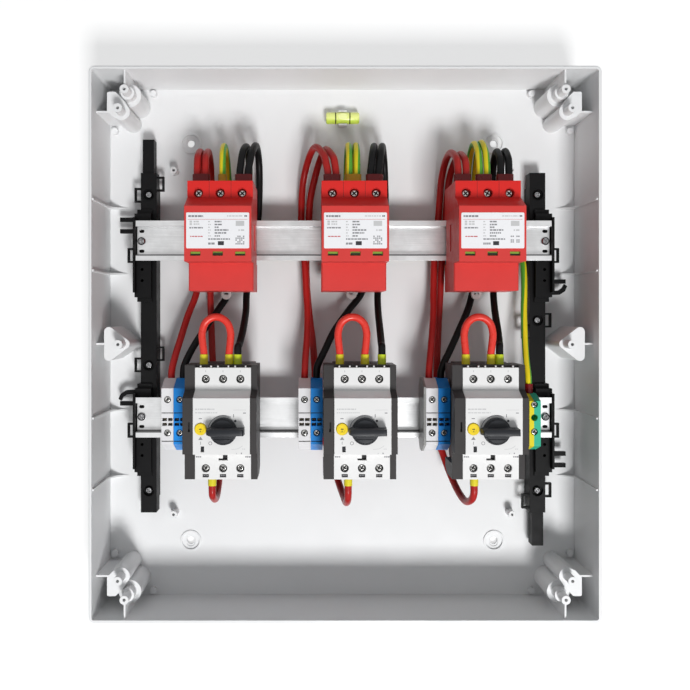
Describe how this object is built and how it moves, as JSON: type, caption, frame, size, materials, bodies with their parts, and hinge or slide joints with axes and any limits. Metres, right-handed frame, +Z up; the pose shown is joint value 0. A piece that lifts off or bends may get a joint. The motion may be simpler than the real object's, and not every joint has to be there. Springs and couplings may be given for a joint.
{
  "type": "solar combiner box",
  "caption": "Open light grey wall box with two mounting rails carrying red surge arresters, rotary string breakers, terminal blocks and looped red, black and earth leads",
  "frame": {"origin": "centre of the four wall holes, on the face that lies against the wall", "axes": "+X right seen from the front, +Z up, +Y into the wall; the open front faces -Y"},
  "size_m": [0.43, 0.119, 0.467],
  "materials": {
    "enclosure": "satin moulded, fine grain",
    "vial": "clear tube of green-tinted spirit, glossy",
    "zinc_rail": "zinc plated, satin",
    "screw_zinc": "zinc plated, worn slots",
    "support_black": "satin moulded",
    "arrester_red": "satin moulded",
    "label_print": "printed film, satin",
    "flag_green": "glossy indicator",
    "breaker_dark": "satin moulded",
    "breaker_light": "satin moulded",
    "handle_black": "satin moulded",
    "dial_yellow": "satin moulded",
    "block_grey": "satin moulded",
    "block_blue": "satin moulded",
    "end_plate": "satin moulded",
    "block_earth": "satin moulded, yellow left edge",
    "ferrule_yellow": "glossy sleeve",
    "collar_red": "glossy sleeve",
    "collar_ochre": "glossy sleeve",
    "lead_red": "smooth insulation",
    "lead_black": "smooth insulation",
    "lead_earth": "smooth insulation, green and yellow stripes"
  },
  "bodies": {
    "box": {"enclosure_base": "enclosure", "level_vial": "vial", "rail_upper": "zinc_rail", "rail_lower": "zinc_rail", "rail_screws": "screw_zinc", "support_screws": "screw_zinc", "arrester_screws": "screw_zinc", "breaker_screws": "screw_zinc", "terminal_screws": "screw_zinc", "rail_support_left": "support_black", "rail_support_right": "support_black", "arrester_1": "arrester_red", "arrester_2": "arrester_red", "arrester_3": "arrester_red", "arrester_labels": "label_print", "arrester_flags": "flag_green", "breaker_1_housing": "breaker_dark", "breaker_2_housing": "breaker_dark", "breaker_3_housing": "breaker_dark", "breaker_1_face": "breaker_light", "breaker_2_face": "breaker_light", "breaker_3_face": "breaker_light", "terminal_grey_1": "block_grey", "terminal_grey_2": "block_grey", "terminal_grey_3": "block_grey", "terminal_blue_1": "block_blue", "terminal_blue_2": "block_blue", "terminal_blue_3": "block_blue", "terminal_end_plate": "end_plate", "earth_terminal": "block_earth", "lead_ferrules": "ferrule_yellow", "lead_collars": "collar_red", "earth_collars": "collar_ochre", "leads_red_1": "lead_red", "leads_red_2": "lead_red", "leads_red_3": "lead_red", "jumper_1": "lead_red", "jumper_2": "lead_red", "jumper_3": "lead_red", "leads_black_1": "lead_black", "leads_black_2": "lead_black", "leads_black_3": "lead_black", "lead_earth_1": "lead_earth", "lead_earth_2": "lead_earth", "lead_earth_3": "lead_earth"},
    "handle_1": {"breaker_1_handle": "handle_black"},
    "dial_1": {"breaker_1_dial": "dial_yellow"},
    "test_key_1": {"breaker_1_test_key": "handle_black"},
    "breaker_latch_1": {"breaker_1_latch": "breaker_dark"},
    "arrester_latch_1": {"arrester_1_latch": "support_black"},
    "handle_2": {"breaker_2_handle": "handle_black"},
    "dial_2": {"breaker_2_dial": "dial_yellow"},
    "test_key_2": {"breaker_2_test_key": "handle_black"},
    "breaker_latch_2": {"breaker_2_latch": "breaker_dark"},
    "arrester_latch_2": {"arrester_2_latch": "support_black"},
    "handle_3": {"breaker_3_handle": "handle_black"},
    "dial_3": {"breaker_3_dial": "dial_yellow"},
    "test_key_3": {"breaker_3_test_key": "handle_black"},
    "breaker_latch_3": {"breaker_3_latch": "breaker_dark"},
    "arrester_latch_3": {"arrester_3_latch": "support_black"}
  },
  "joints": [
    {"name": "breaker_1_handle_turn", "type": "hinge", "parent": "box", "child": "handle_1", "pos_m": [-0.0973, -0.107, -0.0665], "axis": [0, 1, 0], "range_deg": [0, 90]},
    {"name": "breaker_1_dial_turn", "type": "hinge", "parent": "box", "child": "dial_1", "pos_m": [-0.1153, -0.107, -0.065], "axis": [0, 1, 0], "range_deg": [-90, 90]},
    {"name": "breaker_1_test_press", "type": "slide", "parent": "box", "child": "test_key_1", "axis": [0, 1, 0], "range_m": [0, 0.001], "stiffness_N_per_m": 400, "springref_m": -0.0005},
    {"name": "breaker_1_latch_pull", "type": "slide", "parent": "box", "child": "breaker_latch_1", "axis": [0, 0, -1], "range_m": [0, 0.0035], "stiffness_N_per_m": 1500, "springref_m": -0.001},
    {"name": "arrester_1_latch_pull", "type": "slide", "parent": "box", "child": "arrester_latch_1", "axis": [0, 0, -1], "range_m": [0, 0.0035], "stiffness_N_per_m": 1500, "springref_m": -0.001},
    {"name": "breaker_2_handle_turn", "type": "hinge", "parent": "box", "child": "handle_2", "pos_m": [0.014, -0.107, -0.0665], "axis": [0, 1, 0], "range_deg": [0, 90]},
    {"name": "breaker_2_dial_turn", "type": "hinge", "parent": "box", "child": "dial_2", "pos_m": [-0.004, -0.107, -0.065], "axis": [0, 1, 0], "range_deg": [-90, 90]},
    {"name": "breaker_2_test_press", "type": "slide", "parent": "box", "child": "test_key_2", "axis": [0, 1, 0], "range_m": [0, 0.001], "stiffness_N_per_m": 400, "springref_m": -0.0005},
    {"name": "breaker_2_latch_pull", "type": "slide", "parent": "box", "child": "breaker_latch_2", "axis": [0, 0, -1], "range_m": [0, 0.0035], "stiffness_N_per_m": 1500, "springref_m": -0.001},
    {"name": "arrester_2_latch_pull", "type": "slide", "parent": "box", "child": "arrester_latch_2", "axis": [0, 0, -1], "range_m": [0, 0.0035], "stiffness_N_per_m": 1500, "springref_m": -0.001},
    {"name": "breaker_3_handle_turn", "type": "hinge", "parent": "box", "child": "handle_3", "pos_m": [0.1172, -0.107, -0.0665], "axis": [0, 1, 0], "range_deg": [0, 90]},
    {"name": "breaker_3_dial_turn", "type": "hinge", "parent": "box", "child": "dial_3", "pos_m": [0.0992, -0.107, -0.065], "axis": [0, 1, 0], "range_deg": [-90, 90]},
    {"name": "breaker_3_test_press", "type": "slide", "parent": "box", "child": "test_key_3", "axis": [0, 1, 0], "range_m": [0, 0.001], "stiffness_N_per_m": 400, "springref_m": -0.0005},
    {"name": "breaker_3_latch_pull", "type": "slide", "parent": "box", "child": "breaker_latch_3", "axis": [0, 0, -1], "range_m": [0, 0.0035], "stiffness_N_per_m": 1500, "springref_m": -0.001},
    {"name": "arrester_3_latch_pull", "type": "slide", "parent": "box", "child": "arrester_latch_3", "axis": [0, 0, -1], "range_m": [0, 0.0035], "stiffness_N_per_m": 1500, "springref_m": -0.001}
  ]
}
